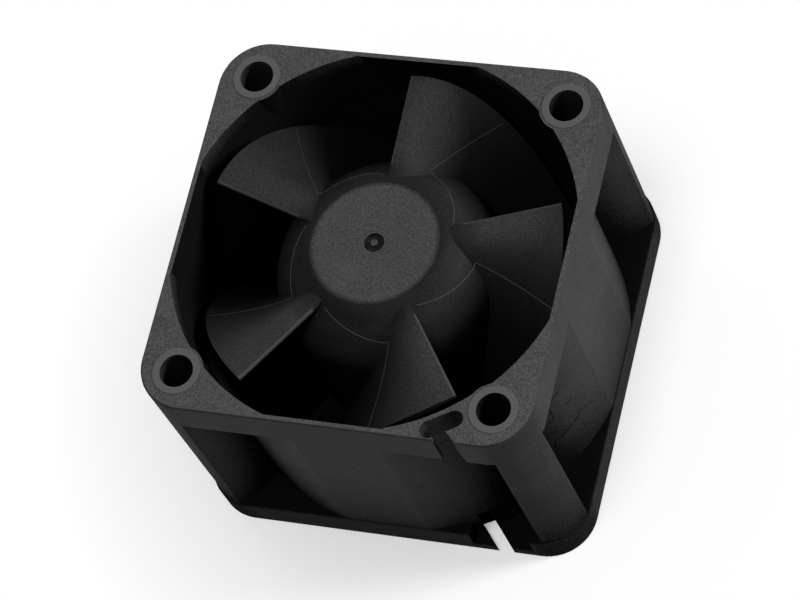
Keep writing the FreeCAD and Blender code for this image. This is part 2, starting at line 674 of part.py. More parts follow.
def build_all():
    nodes = {
        "housing": build_housing(),
        "bearing_tube": build_bearing_tube(),
        "stator_core": build_stator_core(),
        "stator_insulator_front": build_insulator(CORE_TOP, 1),
        "stator_insulator_rear": build_insulator(CORE_BOTTOM - INSULATOR_THICKNESS, -1),
        "circuit_board": build_circuit_board(),
        "driver_chip": build_driver_chip(),
        "hall_sensor": build_hall_sensor(),
        "board_components": build_board_components(),
        "winding_pins": build_winding_pins(),
        "solder_joints": build_solder_joints(),
        "impeller": build_impeller(),
        "rotor_yoke": build_rotor_yoke(),
        "rotor_magnet": build_rotor_magnet(),
        "shaft_bush": build_shaft_bush(),
        "shaft": build_shaft(),
        "retaining_clip": build_retaining_clip(),
        "preload_spring": build_preload_spring(),
    }
    for index, coil in enumerate(pattern(build_coil(), POLE_COUNT)):
        nodes[f"coil_{index + 1}"] = coil
    for place, bottom in (("front", FRONT_BEARING_BOTTOM), ("rear", REAR_BEARING_BOTTOM)):
        for piece, shape in build_bearing(bottom).items():
            nodes[f"{place}_bearing_{piece}"] = shape
    return nodes


if __name__ == "__main__":
    os.makedirs(OUTPUT_FOLDER, exist_ok=True)
    for name, shape in build_all().items():
        print(f"{name}: {len(shape.Solids)} solid(s), {shape.Volume:.2f} mm3, valid {shape.isValid()}")
        shape.exportStep(os.path.join(OUTPUT_FOLDER, name + ".step"))
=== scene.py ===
"""Looks of a square axial server fan: finishes, moulding marks, windings and the stage."""

import json
import math

import bmesh
import bpy
from bpy.props import FloatProperty, FloatVectorProperty, IntProperty, PointerProperty
from mathutils import Matrix, Vector
from mathutils.bvhtree import BVHTree


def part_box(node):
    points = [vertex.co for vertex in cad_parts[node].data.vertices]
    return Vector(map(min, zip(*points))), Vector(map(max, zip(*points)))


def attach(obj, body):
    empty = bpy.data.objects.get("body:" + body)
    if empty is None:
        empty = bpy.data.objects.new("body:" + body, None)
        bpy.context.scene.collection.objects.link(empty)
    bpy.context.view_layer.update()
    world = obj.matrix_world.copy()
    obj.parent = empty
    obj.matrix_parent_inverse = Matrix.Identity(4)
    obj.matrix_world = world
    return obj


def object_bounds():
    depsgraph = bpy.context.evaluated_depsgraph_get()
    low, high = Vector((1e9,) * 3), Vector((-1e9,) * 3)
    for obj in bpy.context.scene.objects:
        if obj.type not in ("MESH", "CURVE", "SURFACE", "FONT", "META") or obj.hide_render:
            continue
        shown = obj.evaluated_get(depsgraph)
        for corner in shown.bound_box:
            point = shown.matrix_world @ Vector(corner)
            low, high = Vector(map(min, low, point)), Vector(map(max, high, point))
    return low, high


bl_info = {
    "name": "Server fan dresser",
    "version": (1, 0, 0),
    "blender": (4, 5, 0),
    "location": "3D View > Sidebar > Server fan",
    "description": "Finishes and moulding marks for a 40 mm axial server fan",
    "category": "Object",
}

MM = 0.001

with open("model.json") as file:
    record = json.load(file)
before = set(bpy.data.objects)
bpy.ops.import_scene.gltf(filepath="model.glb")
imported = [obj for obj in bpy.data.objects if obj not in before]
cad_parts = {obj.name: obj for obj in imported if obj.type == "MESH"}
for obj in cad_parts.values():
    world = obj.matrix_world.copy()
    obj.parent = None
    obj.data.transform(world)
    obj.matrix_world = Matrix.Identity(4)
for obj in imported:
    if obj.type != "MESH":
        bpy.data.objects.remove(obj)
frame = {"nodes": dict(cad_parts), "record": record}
CAD_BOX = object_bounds()
HOUSING_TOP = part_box("housing")[1].z
IMPELLER_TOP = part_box("impeller")[1].z
MOUNTS = {mount["name"]: mount for mount in frame["record"]["mounts"]}

# Housing: what its finish follows. A reach is a distance from the axis along x or y, whichever
# is larger: the outer sides lie past BODY_REACH, and the duct with its four flats lies within
# DUCT_REACH. A wall further than CORNER_REACH from the axis belongs to a corner post. Painted
# shade on the sides deepens over POCKET_SPAN into a pocket and over FOOT_SPAN down to the foot.
HOLE_PITCH = MOUNTS["intake_screw_holes"]["dims"]["spacing_x_mm"] * MM
HOLE_RADIUS = MOUNTS["intake_screw_holes"]["dims"]["hole_r_mm"] * MM
PAD_WIDTH = 0.75 * MM
PAD_RADIUS = HOLE_RADIUS + PAD_WIDTH
PAD_LEVEL = HOUSING_TOP - 0.03 * MM
FACE_LEVEL = HOUSING_TOP - 0.08 * MM
BODY_REACH = 19.85 * MM
DUCT_REACH = 19.6 * MM
DUCT_RADIUS = 19.9 * MM
CORNER_REACH = 24.6 * MM
LEDGE_TOP = 3.3 * MM
POCKET_SPAN = 5.0 * MM
FOOT_SPAN = 20.0 * MM
BARREL_BULGE = 0.35 * MM
BARREL_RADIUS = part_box("housing")[1].x + BARREL_BULGE

# Impeller: the hub, the gate mark in its middle, and the painted highlight along each leading edge.
# A leading edge lies at LEADING_ROOT degrees at the hub and at LEADING_TIP degrees BLADE_SPAN
# further out, so it slants by EDGE_SLANT blade pitches per metre.
BLADE_COUNT = 5
HUB_RADIUS = 11.2 * MM
HUB_TOP_RADIUS = 6.0 * MM
SHOULDER_SPAN = 14.0 * MM
FALL_SPAN = 10.0 * MM
GATE_RADIUS = 1.05 * MM
GATE_LEVEL = IMPELLER_TOP - 0.05 * MM
EDGE_BAND = 0.22 * MM
EDGE_LEVEL = IMPELLER_TOP - 2.0 * MM
EDGE_ROOT = HUB_RADIUS * 0.78
LEADING_ROOT = 22.2
LEADING_TIP = 20.7
BLADE_SPAN = 7.25 * MM
EDGE_SLANT = (LEADING_ROOT - LEADING_TIP) / 360 * BLADE_COUNT / BLADE_SPAN

# Black plastic of the housing and impeller: its shine, and the share of its colour left where
# its gloss gives way to matt, in the pits of its grain and where shade is painted on it.
PLASTIC_SHINE = 0.22
DULL_AND_SHADE_SHARE = 0.1

# Motor: core sheets, of which SHEET_JOINT is the dark joint, the board's glass cloth, and coils.
POLE_COUNT = 4
SHEET_PITCH = 0.35 * MM
SHEET_JOINT = 0.14
CLOTH_PITCH = 0.5 * MM
COIL_CORNER = 1.3 * MM

# Witness lines as (radius in mm, degrees from LINE_START), start, middle, end.
LINE_START = 20.2
LINE_STATIONS = 24
HUB_LINE = ((9.6, -20.0), (8.72, -44.0), (7.76, -67.0))
BLADE_LINE = ((9.6, -19.6), (14.0, -25.8), (18.3, -30.5))

# Arrow outlines as (degrees about the axis, z in mm), anticlockwise seen from outside.
FLOW_ARROW = ((-31.0, 16.8), (-31.0, 13.5), (-34.0, 13.5), (-28.6, 10.4), (-23.8, 13.5),
              (-26.1, 13.5), (-26.1, 16.8))
SPIN_ARROW = ((-34.4, 9.45), (-34.4, 7.8), (-23.9, 7.8), (-23.9, 6.9), (-17.6, 8.6),
              (-23.9, 10.2), (-23.9, 9.45))

# Stage: places are in metres from the middle of the fan's foot. The floor shows scattered light
# only SCATTER_SHARE of its colour, and has a black painted shadow within BORE_RADIUS, under the
# duct.
KEY_PLACE = Vector((0.0, -0.2, 0.85))
SIDE_PLACE = Vector((0.8, 0.3, 0.36))
BACK_PLACE = Vector((-0.65, 0.5, 0.17))
LAMP_WIDTH = 0.3
CAMERA_PLACE = Vector((121.18, -139.88, 345.16)) * MM
CAMERA_TARGET = Vector((-0.78, -0.18, 14.0)) * MM
FLOOR_SIDES = 96
SCATTER_SHARE = 0.66
BORE_RADIUS = 19.4 * MM
BORE_SHADOW_BLACK = (0.002, 0.002, 0.002)


# ------------------------------------------------------------ shader maths

class Shade:
    """One output socket of a shader node; arithmetic on it adds Math nodes."""

    def __init__(self, nodes, socket):
        self.nodes = nodes
        self.socket = socket

    def __add__(self, other):
        return self.nodes.math("ADD", self, other)

    __radd__ = __add__

    def __sub__(self, other):
        return self.nodes.math("SUBTRACT", self, other)

    def __rsub__(self, other):
        return self.nodes.math("SUBTRACT", other, self)

    def __mul__(self, other):
        return self.nodes.math("MULTIPLY", self, other)

    __rmul__ = __mul__

    def __truediv__(self, other):
        return self.nodes.math("DIVIDE", self, other)

    def __lt__(self, other):
        return self.nodes.math("LESS_THAN", self, other)

    def __gt__(self, other):
        return self.nodes.math("GREATER_THAN", self, other)

    def __abs__(self):
        return self.nodes.math("ABSOLUTE", self)

    def larger(self, other):
        """Whichever of two values is larger."""
        return self.nodes.math("MAXIMUM", self, other)

    def root(self):
        return self.nodes.math("SQRT", self)

    def sine(self):
        return self.nodes.math("SINE", self)

    def fraction(self):
        return self.nodes.math("FRACT", self)


class Nodes:
    """A node tree under construction, for a material or for the world."""

    def __init__(self, tree):
        self.tree = tree

    def node(self, kind, settings=None, sockets=None, output=0):
        """Add a node: settings first, then socket values or links; returns one output."""
        node = self.tree.nodes.new(kind)
        for name, value in (settings or {}).items():
            if name == "stops":
                self.fill_ramp(node.color_ramp, value)
            else:
                setattr(node, name, value)
        for name, value in (sockets or {}).items():
            self.feed(node.inputs[name], value)
        return Shade(self, node.outputs[output])

    def feed(self, socket, value):
        """Give a socket a link from a Shade, or a constant."""
        if isinstance(value, Shade):
            self.tree.links.new(value.socket, socket)
        else:
            socket.default_value = value

    def fill_ramp(self, ramp, stops):
        """Grey stops as (position, value); a new ramp has two to begin with."""
        for element, (position, value) in zip(ramp.elements, stops[:2]):
            element.position = position
            element.color = (value, value, value, 1.0)
        for position, value in stops[2:]:
            ramp.elements.new(position).color = (value, value, value, 1.0)

    def math(self, operation, *values):
        return self.node("ShaderNodeMath", {"operation": operation}, dict(enumerate(values)))

    def ray(self, kind):
        """1 for one kind of ray, such as Camera, and 0 for the others."""
        return self.node("ShaderNodeLightPath", output=f"Is {kind} Ray")


class Finish(Nodes):
    """A material under construction: one Principled shader and the nodes that feed it."""

    def __init__(self, name, color, roughness, metallic=0.0):
        self.material = bpy.data.materials.new(name)
        self.material.use_nodes = True
        self.material.diffuse_color = (*color, 1.0)
        super().__init__(self.material.node_tree)
        self.shader = self.tree.nodes["Principled BSDF"]
        self.set("Base Color", (*color, 1.0))
        self.set("Roughness", roughness)
        self.set("Metallic", metallic)

    def set(self, socket, value):
        """Feed a socket of the shader with a constant or with a Shade."""
        self.feed(self.shader.inputs[socket], value)

    def place(self):
        """Position on the surface in the object's own frame, in metres."""
        return self.node("ShaderNodeTexCoord", output="Object")

    def split(self, vector):
        """The three components of a vector."""
        first = self.node("ShaderNodeSeparateXYZ", None, {"Vector": vector})
        return [Shade(self, socket) for socket in first.socket.node.outputs]

    def noise(self, size, detail, roughness, vector):
        """Noise from 0 to 1 whose features are about size metres across."""
        sockets = {"Vector": vector, "Scale": 1.0 / size, "Detail": detail, "Roughness": roughness}
        return self.node("ShaderNodeTexNoise", None, sockets, output="Fac")

    def ramp(self, value, *stops):
        """Follow straight lines through (value, result) stops, whose values go from 0 to 1."""
        return self.node("ShaderNodeValToRGB", {"stops": stops}, {"Fac": value})

    def blend(self, factor, first, second):
        """Mix two colours, given as sockets or as (red, green, blue)."""
        whole = [(*color, 1.0) if isinstance(color, tuple) else color for color in (first, second)]
        sockets = {"Factor": factor, 6: whole[0], 7: whole[1]}
        return self.node("ShaderNodeMix", {"data_type": "RGBA"}, sockets, output=2)

    def dull_and_shade(self, factor, color):
        """Swap the gloss for plain matt colour where the factor rises to 1; a near-black one paints
        shade.
        """
        matt = self.node("ShaderNodeBsdfPrincipled", None,
                         {"Base Color": (*color, 1.0), "Roughness": 1.0, "Specular IOR Level": 0.0})
        glossy = Shade(self, self.shader.outputs["BSDF"])
        mixed = self.node("ShaderNodeMixShader", None, {0: factor, 1: glossy, 2: matt})
        self.feed(self.tree.nodes["Material Output"].inputs["Surface"], mixed)

    def bump(self, height, distance, strength):
        """Fine relief of the surface, from 0 to distance metres high."""
        sockets = {"Height": height, "Distance": distance, "Strength": strength}
        self.set("Normal", self.node("ShaderNodeBump", None, sockets, output="Normal"))


def scaled(color, factor):
    """A colour made darker or lighter."""
    return tuple(channel * factor for channel in color)


# ---------------------------------------------------------------- finishes

def frame_plastic(base):
    """Spark-textured black plastic: painted shade, darker the deeper a wall lies; glossier on the
    hole pads.
    """
    finish = Finish("frame_plastic", base, 0.5)
    finish.set("Specular IOR Level", PLASTIC_SHINE)
    place = finish.place()
    x, y, z = finish.split(place)
    dx = abs(x) - HOLE_PITCH / 2
    dy = abs(y) - HOLE_PITCH / 2
    from_hole = (dx * dx + dy * dy).root()
    radius = (x * x + y * y).root()
    reach = abs(x).larger(abs(y))

    # Masks: 1 on a region of the moulding and 0 elsewhere.
    pad = (from_hole < PAD_RADIUS) * (z > PAD_LEVEL)
    wall = z < FACE_LEVEL
    inside = finish.ramp((radius - DUCT_RADIUS) / MM, (0.2, 1.0), (0.4, 0.0))
    duct = wall * inside * (reach < DUCT_REACH)
    corner = finish.ramp((radius - CORNER_REACH) / MM, (0.0, 0.0), (1.0, 1.0))
    pocket = wall * (1 - duct) * (1 - corner)
    ledge = pocket * (z < LEDGE_TOP) * (reach < BODY_REACH)

    # Sparked grain with a faint cloudiness.
    grain = finish.noise(0.17 * MM, 2.0, 0.7, place)
    cloud = finish.noise(3.5 * MM, 2.0, 0.5, place)
    tone = finish.ramp(grain * 0.75 + cloud * 0.25, (0.3, 0.0), (0.7, 1.0))
    textured = finish.blend(tone, scaled(base, 0.4), scaled(base, 1.7))
    finish.set("Base Color", finish.blend(pad, textured, scaled(base, 1.45)))
    finish.set("Roughness", finish.ramp(grain, (0.3, 0.46), (0.7, 0.66)) - pad * 0.14)
    finish.bump(grain * (1 - pad * 0.8), 0.03 * MM, 0.8)

    # Dullness: in the pits of the grain and, as painted shade, on the walls below the face.
    sparkle = finish.ramp(grain, (0.35, 0.28), (0.65, 0.0)) * (1 - pad) * (1 - wall * 0.35)
    # Painted shade, deepening into a pocket.
    sunk = finish.ramp((BODY_REACH - reach) / POCKET_SPAN, (0.0, 0.0), (0.3, 0.1), (0.8, 0.42))
    # Painted shade, darker towards the foot.
    low = finish.ramp(z / FOOT_SPAN, (0.0, 0.28), (0.17, 0.26), (0.4, 0.12), (0.8, 0.0))
    # Painted shade on all walls below the face, more at the corner posts, in the duct, in the
    # pockets and on the ledge.
    painted_shade = wall * (low + 0.46 + corner * 0.1) + duct * 0.5 + pocket * sunk + ledge * 0.4
    finish.dull_and_shade(sparkle + painted_shade, scaled(base, DULL_AND_SHADE_SHARE))
    return finish.material


def impeller_plastic(base):
    """Black plastic, satin on the hub's flat top, with painted shade deeper down.

    A painted highlight runs along the leading edges.
    """
    finish = Finish("impeller_plastic", base, 0.5)
    finish.set("Specular IOR Level", PLASTIC_SHINE)
    place = finish.place()
    x, y, z = finish.split(place)
    radius = (x * x + y * y).root()

    # A narrow band of painted highlight along each leading edge, and the gate mark in the middle
    # of the hub.
    share = (finish.math("ARCTAN2", y, x) - math.radians(LEADING_ROOT)) * (BLADE_COUNT / math.tau)
    behind = 1 - (share + BLADE_COUNT + EDGE_SLANT * (radius - HUB_RADIUS)).fraction()
    edge = (behind * radius < EDGE_BAND) * (z > EDGE_LEVEL) * (radius > EDGE_ROOT)
    gate = (radius < GATE_RADIUS) * (z < GATE_LEVEL)

    # Fine grain with a faint cloudiness.
    grain = finish.noise(0.16 * MM, 2.0, 0.7, place)
    cloud = finish.noise(4.0 * MM, 3.0, 0.55, place)
    tone = finish.ramp(grain * 0.6 + cloud * 0.4, (0.3, 0.0), (0.7, 1.0))
    textured = finish.blend(tone, scaled(base, 0.6), scaled(base, 1.4))
    # Painted highlight: a lighter colour along the leading edges.
    finish.set("Base Color", finish.blend(edge, textured, scaled(base, 1.1)))
    finish.set("Roughness", finish.ramp(grain * 0.5 + cloud * 0.5, (0.3, 0.52), (0.7, 0.68)))
    finish.bump(grain, 0.02 * MM, 0.7)

    # Dullness: in the pits of the grain, and as painted shade on the hub's cone, in the gate mark
    # and growing deeper down; less of it along the painted highlight of the leading edges.
    sparkle = finish.ramp(grain, (0.35, 0.4), (0.65, 0.0))
    # Painted shade round the hub's flat top, strongest just outside it.
    shoulder_shade = finish.ramp(radius / SHOULDER_SPAN, (0.43, 0.0), (0.47, 0.8), (0.57, 0.74),
                           (0.7, 0.58), (0.86, 0.2), (1.0, 0.0))
    # Painted shade, growing deeper down.
    depth_shade = finish.ramp((IMPELLER_TOP - z) / FALL_SPAN, (0.0, 0.0), (0.05, 0.42), (0.1, 0.57),
                       (0.17, 0.69), (0.3, 0.8), (0.5, 0.9), (0.8, 0.97), (1.0, 0.99))
    shade = (depth_shade * (radius > HUB_TOP_RADIUS)).larger(shoulder_shade)
    pits_and_shade = sparkle * (1 - shade) + shade
    # Painted shade in the gate mark; the painted highlight along the leading edges keeps more
    # gloss.
    finish.dull_and_shade((pits_and_shade * (1 - edge * 0.6)).larger(gate * 0.8), scaled(base, DULL_AND_SHADE_SHARE))
    return finish.material


def turned_metal(name, color, roughness, groove):
    """Turned or ground metal: fine rings, groove metres apart, round the fan's axis."""
    finish = Finish(name, color, roughness, metallic=1.0)
    place = finish.place()
    x, y, z = finish.split(place)
    radius = (x * x + y * y).root()
    rings = finish.node("ShaderNodeTexNoise", {"noise_dimensions": "1D"},
                        {"W": radius + z, "Scale": 1.0 / groove, "Detail": 2.0}, output="Fac")
    stain = finish.noise(0.9 * MM, 3.0, 0.6, place)
    finish.set("Base Color", finish.blend(stain, scaled(color, 0.86), scaled(color, 1.05)))
    gloss = rings * 0.7 + stain * 0.3
    finish.set("Roughness", finish.ramp(gloss, (0.25, roughness * 0.8), (0.75, roughness * 1.25)))
    finish.bump(rings, 0.004 * MM, 0.5)
    return finish.material


def stacked_laminations(base):
    """Edges of the stacked core sheets, with a dark joint between one sheet and the next."""
    finish = Finish("laminations", base, 0.45, metallic=0.9)
    place = finish.place()
    x, y, z = finish.split(place)
    joint = (z / SHEET_PITCH).fraction() < SHEET_JOINT
    stain = finish.noise(0.6 * MM, 3.0, 0.6, place)
    plain = finish.blend(stain, scaled(base, 0.8), scaled(base, 1.1))
    finish.set("Base Color", finish.blend(joint, plain, scaled(base, 0.3)))
    finish.set("Roughness", stain * 0.2 + 0.38)
    finish.bump(1 - joint, 0.02 * MM, 0.8)
    return finish.material


def speckled(name, color, roughness, grain_size, spread=0.15, relief=0.005 * MM, coat=0.0,
             metallic=0.0):
    """Moulded, sintered or coated surface with an even speckle."""
    finish = Finish(name, color, roughness, metallic)
    place = finish.place()
    grain = finish.noise(grain_size, 3.0, 0.6, place)
    cloud = finish.noise(grain_size * 9, 2.0, 0.5, place)
    tone = finish.ramp(grain * 0.6 + cloud * 0.4, (0.3, 0.0), (0.7, 1.0))
    darkest, lightest = scaled(color, 1 - spread), scaled(color, 1 + spread)
    finish.set("Base Color", finish.blend(tone, darkest, lightest))
    finish.set("Roughness", finish.ramp(grain, (0.3, roughness * 0.9), (0.7, roughness * 1.1)))
    finish.set("Coat Weight", coat)
    finish.bump(grain, relief, 0.6)
    return finish.material


def board_laminate(base):
    """Solder mask over glass cloth, with a weave that shows through faintly."""
    finish = Finish("board_laminate", base, 0.3)
    place = finish.place()
    x, y, z = finish.split(place)
    wave = math.tau / CLOTH_PITCH
    weave = (x * wave).sine() * (y * wave).sine() * 0.5 + 0.5
    cloud = finish.noise(1.2 * MM, 3.0, 0.6, place)
    tone = weave * 0.5 + cloud * 0.5
    finish.set("Base Color", finish.blend(tone, scaled(base, 0.8), scaled(base, 1.2)))
    finish.set("Roughness", cloud * 0.15 + 0.22)
    finish.set("Coat Weight", 0.4)
    finish.bump(weave, 0.006 * MM, 0.5)
    return finish.material


def paint(material, *nodes):
    """Give CAD nodes one material."""
    for node in nodes:
        mesh = frame["nodes"][node].data
        mesh.materials.clear()
        mesh.materials.append(material)


# ------------------------------------------------------------------ pieces

def add_piece(name, mesh, material, body):
    """Link a finished mesh as a piece that moves with a body."""
    mesh.materials.append(material)
    piece = bpy.data.objects.new(name, mesh)
    bpy.context.scene.collection.objects.link(piece)
    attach(piece, body)


def skin(mesh, rings):
    """Faces from each ring of vertices to the next, and a cap on either end."""
    for ring, following in zip(rings, rings[1:]):
        for index in range(len(ring)):
            other = (index + 1) % len(ring)
            mesh.faces.new((ring[index], ring[other], following[other], following[index]))
    mesh.faces.new(rings[0])
    mesh.faces.new(rings[-1])
    bmesh.ops.recalc_face_normals(mesh, faces=mesh.faces)


def bead(path, width, height):
    """Raised rounded bead along a path of (point, outward) pairs, sunk a little at its foot.

    Its profile is in shares of the width and the height."""
    profile = ((-0.5, -0.5), (-0.42, 0.45), (0.0, 1.0), (0.42, 0.45), (0.5, -0.5))
    mesh = bmesh.new()
    rings = []
    for index, (point, outward) in enumerate(path):
        before = path[max(index - 1, 0)][0]
        after = path[min(index + 1, len(path) - 1)][0]
        side = (after - before).normalized().cross(outward).normalized()
        rings.append([mesh.verts.new(point + side * (across * width) + outward * (up * height))
                      for across, up in profile])
    skin(mesh, rings)
    return mesh


def joined(name, parts, smooth=True):
    """One mesh from several bmesh parts, which are freed."""
    whole = bmesh.new()
    for part in parts:
        scratch = bpy.data.meshes.new("scratch")
        part.to_mesh(scratch)
        part.free()
        whole.from_mesh(scratch)
        bpy.data.meshes.remove(scratch)
    mesh = bpy.data.meshes.new(name)
    whole.to_mesh(mesh)
    whole.free()
    mesh.polygons.foreach_set("use_smooth", [smooth] * len(mesh.polygons))
    return mesh


def polar(radius, angle, height):
    """A point at a radius and an angle in degrees about the fan's axis."""
    turn = math.radians(angle)
    return Vector((radius * math.cos(turn), radius * math.sin(turn), height))


def draped(tree, stations):
    """Drop (radius, angle) stations onto a surface from the intake side; returns a path."""
    above = IMPELLER_TOP + 1 * MM
    down = Vector((0, 0, -1))
    path = []
    for radius, angle in stations:
        point, normal, index, distance = tree.ray_cast(polar(radius, angle, above), down)
        if point is None:
            raise RuntimeError(f"a witness line leaves the impeller at {radius}, {angle}")
        path.append((point, normal))
    return path


def curve_stations(points, count):
    """Count stations along a smooth curve through three (radius, angle) points."""
    stations = []
    for step in range(count):
        t = step / (count - 1)
        weights = (2 * (t - 0.5) * (t - 1), 4 * t * (1 - t), 2 * t * (t - 0.5))
        stations.append(tuple(sum(w * p[axis] for w, p in zip(weights, points)) for axis in (0, 1)))
    return stations


def wrapped_plate(outline, radius, height):
    """Raised flat-topped figure on a barrel; its outline is (angle, z) points, anticlockwise.

    It is cut at every degree and given its two levels while flat, and then bent round."""
    mesh = bmesh.new()
    mesh.faces.new([mesh.verts.new((angle, z, 0)) for angle, z in outline])
    low = min(angle for angle, z in outline)
    high = max(angle for angle, z in outline)
    for step in range(math.ceil(low), math.ceil(high)):
        geometry = list(mesh.verts) + list(mesh.edges) + list(mesh.faces)
        bmesh.ops.bisect_plane(mesh, geom=geometry, plane_co=(step, 0, 0), plane_no=(1, 0, 0))
    top = bmesh.ops.extrude_face_region(mesh, geom=list(mesh.faces))
    for item in top["geom"]:
        if isinstance(item, bmesh.types.BMVert):
            item.co.z = 1
    for vert in mesh.verts:
        angle, z, level = vert.co
        vert.co = polar(radius + (height if level > 0.5 else -height), angle, z)
    bmesh.ops.recalc_face_normals(mesh, faces=mesh.faces)
    return mesh


def wire_turns(low, high, corner, wire, turns, sides=6, steps=8):
    """One layer of wire wound round a tooth along X, over a rounded body from low to high.

    The middle of the wire lies a little inside the body, so that no gap shows under it."""
    sunk = wire * 0.35
    half_y = high.y - sunk
    half_z = (high.z - low.z) / 2 - sunk
    middle = (high.z + low.z) / 2
    loop = []
    for quarter in range(4):
        for step in range(steps):
            turn = math.pi / 2 * (quarter + step / (steps - 1))
            side_y = 1 if quarter in (0, 3) else -1
            side_z = 1 if quarter in (0, 1) else -1
            loop.append((side_y * (half_y - corner) + corner * math.cos(turn),
                         middle + side_z * (half_z - corner) + corner * math.sin(turn)))
    mesh = bmesh.new()
    rings = []
    total = turns * len(loop)
    for index in range(total):
        y, z = loop[index % len(loop)]
        before = loop[(index - 1) % len(loop)]
        after = loop[(index + 1) % len(loop)]
        along = Vector((0, after[0] - before[0], after[1] - before[1])).normalized()
        outward = Vector((0, along.z, -along.y))
        x = low.x + wire / 2 + (high.x - low.x - wire) * index / (total - 1)
        ring = []
        for side in range(sides):
            turn = math.tau * side / sides
            offset = outward * math.cos(turn) + Vector((1, 0, 0)) * math.sin(turn)
            ring.append(mesh.verts.new(Vector((x, y, z)) + offset * (wire / 2)))
        rings.append(ring)
    skin(mesh, rings)
    return mesh


# -------------------------------------------------------------- properties

def swatch(name, description, default):
    """A colour that a user can change."""
    return FloatVectorProperty(name=name, description=description, default=default,
                               size=3, min=0.0, max=1.0, subtype="COLOR")


def length(name, description, default):
    """A length that a user can change, in metres."""
    return FloatProperty(name=name, description=description, default=default,
                         min=0.0, unit="LENGTH", precision=5)


def light(name, description, default):
    """A strength of light that a user can change; 1 lights a white floor to plain white."""
    return FloatProperty(name=name, description=description, default=default, min=0.0)


class ServerFanColors(bpy.types.PropertyGroup):
    """Colours of the finishes."""

    frame_plastic: swatch("Frame", "Glass-filled plastic of the housing", (0.049, 0.049, 0.05))
    impeller_plastic: swatch("Impeller", "Plastic of the hub and blades", (0.045, 0.045, 0.046))
    hub_line: swatch("Hub lines", "Plastic along the hub's lines", (0.024, 0.024, 0.025))
    blade_line: swatch("Blade lines", "Plastic along the blades' lines", (0.006, 0.006, 0.006))
    brass: swatch("Brass", "Bearing tube and shaft bush", (0.72, 0.52, 0.25))
    ground_steel: swatch("Shaft steel", "Ground shaft and its clip", (0.6, 0.6, 0.61))
    bearing_steel: swatch("Ring steel", "Bearing rings and balls", (0.64, 0.64, 0.65))
    cage_steel: swatch("Cage steel", "Pressed ball cages", (0.5, 0.48, 0.44))
    spring_steel: swatch("Spring steel", "Preload spring", (0.33, 0.33, 0.34))
    yoke_steel: swatch("Yoke steel", "Drawn cup of the rotor", (0.46, 0.46, 0.47))
    magnet: swatch("Magnet", "Bonded ferrite ring", (0.035, 0.033, 0.031))
    core_steel: swatch("Core steel", "Stamped sheets of the stator", (0.32, 0.32, 0.34))
    nylon: swatch("Insulator", "Nylon end frames of the stator", (0.72, 0.7, 0.62))
    copper: swatch("Copper", "Enamelled winding wire", (0.62, 0.26, 0.1))
    board_mask: swatch("Solder mask", "Circuit board", (0.02, 0.12, 0.045))
    epoxy: swatch("Epoxy", "Chip bodies", (0.02, 0.02, 0.021))
    ceramic: swatch("Ceramic", "Chip capacitors and resistors", (0.42, 0.3, 0.18))
    tin: swatch("Tin", "Pins and solder", (0.7, 0.7, 0.72))


class ServerFanMarks(bpy.types.PropertyGroup):
    """Sizes of the moulded marks and of the windings."""

    line_width: length("Line width", "Width of a witness line", 0.08 * MM)
    line_height: length("Line height", "Height of a witness line", 0.03 * MM)
    arrow_height: length("Arrow height", "How far the side arrows stand off the barrel", 0.08 * MM)
    wire: length("Wire", "Diameter of the winding wire", 0.18 * MM)
    turns: IntProperty(name="Turns", description="Turns in a winding's outer layer",
                       default=10, min=1)


class ServerFanStage(bpy.types.PropertyGroup):
    """Floor, light and camera."""

    floor: swatch("Floor", "Colour of the floor", (0.97, 0.97, 0.97))
    floor_radius: length("Floor radius", "Radius of the floor, whose rim is clear", 42 * MM)
    sky: light("Sky", "Even light from all round", 0.11)
    key: light("Key", "Light of the main lamp, from above", 0.43)
    side_lamp: light("Side lamp", "Light of the low lamp beside the fan", 0.45)
    back_lamp: light("Back lamp", "Light of the weak lamp behind the fan", 0.05)
    lens: FloatProperty(name="Lens", description="Focal length on a 36 mm sensor", default=172.3,
                        unit="CAMERA", min=1.0)
    roll: FloatProperty(name="Roll", description="Turn of the camera's upright from +Y towards -X",
                        default=math.radians(13.59), subtype="ANGLE")


# --------------------------------------------------------------- operators

class DressFrame(bpy.types.Operator):
    """Give the housing its sparked black plastic."""

    bl_idname = "server_fan.dress_frame"
    bl_label = "Housing"

    def execute(self, context):
        paint(frame_plastic(context.scene.server_fan_colors.frame_plastic), "housing")
        return {"FINISHED"}


class DressImpeller(bpy.types.Operator):
    """Give the hub and blades their plastic."""

    bl_idname = "server_fan.dress_impeller"
    bl_label = "Impeller"

    def execute(self, context):
        paint(impeller_plastic(context.scene.server_fan_colors.impeller_plastic), "impeller")
        return {"FINISHED"}


class DressRotor(bpy.types.Operator):
    """Finish the metal and magnet inside the hub, and the brass tube they turn in."""

    bl_idname = "server_fan.dress_rotor"
    bl_label = "Rotor metal"

    def execute(self, context):
        colors = context.scene.server_fan_colors
        ground = turned_metal("ground_steel", colors.ground_steel, roughness=0.2, groove=0.05 * MM)
        spring = turned_metal("spring_steel", colors.spring_steel, roughness=0.32, groove=0.08 * MM)
        yoke = turned_metal("yoke_steel", colors.yoke_steel, roughness=0.35, groove=0.12 * MM)
        brass = turned_metal("brass", colors.brass, roughness=0.26, groove=0.09 * MM)
        magnet = speckled("magnet", colors.magnet, roughness=0.6, grain_size=0.08 * MM,
                          spread=0.35, relief=0.01 * MM)
        paint(ground, "shaft", "retaining_clip")
        paint(spring, "preload_spring")
        paint(yoke, "rotor_yoke")
        paint(magnet, "rotor_magnet")
        paint(brass, "shaft_bush", "bearing_tube")
        return {"FINISHED"}


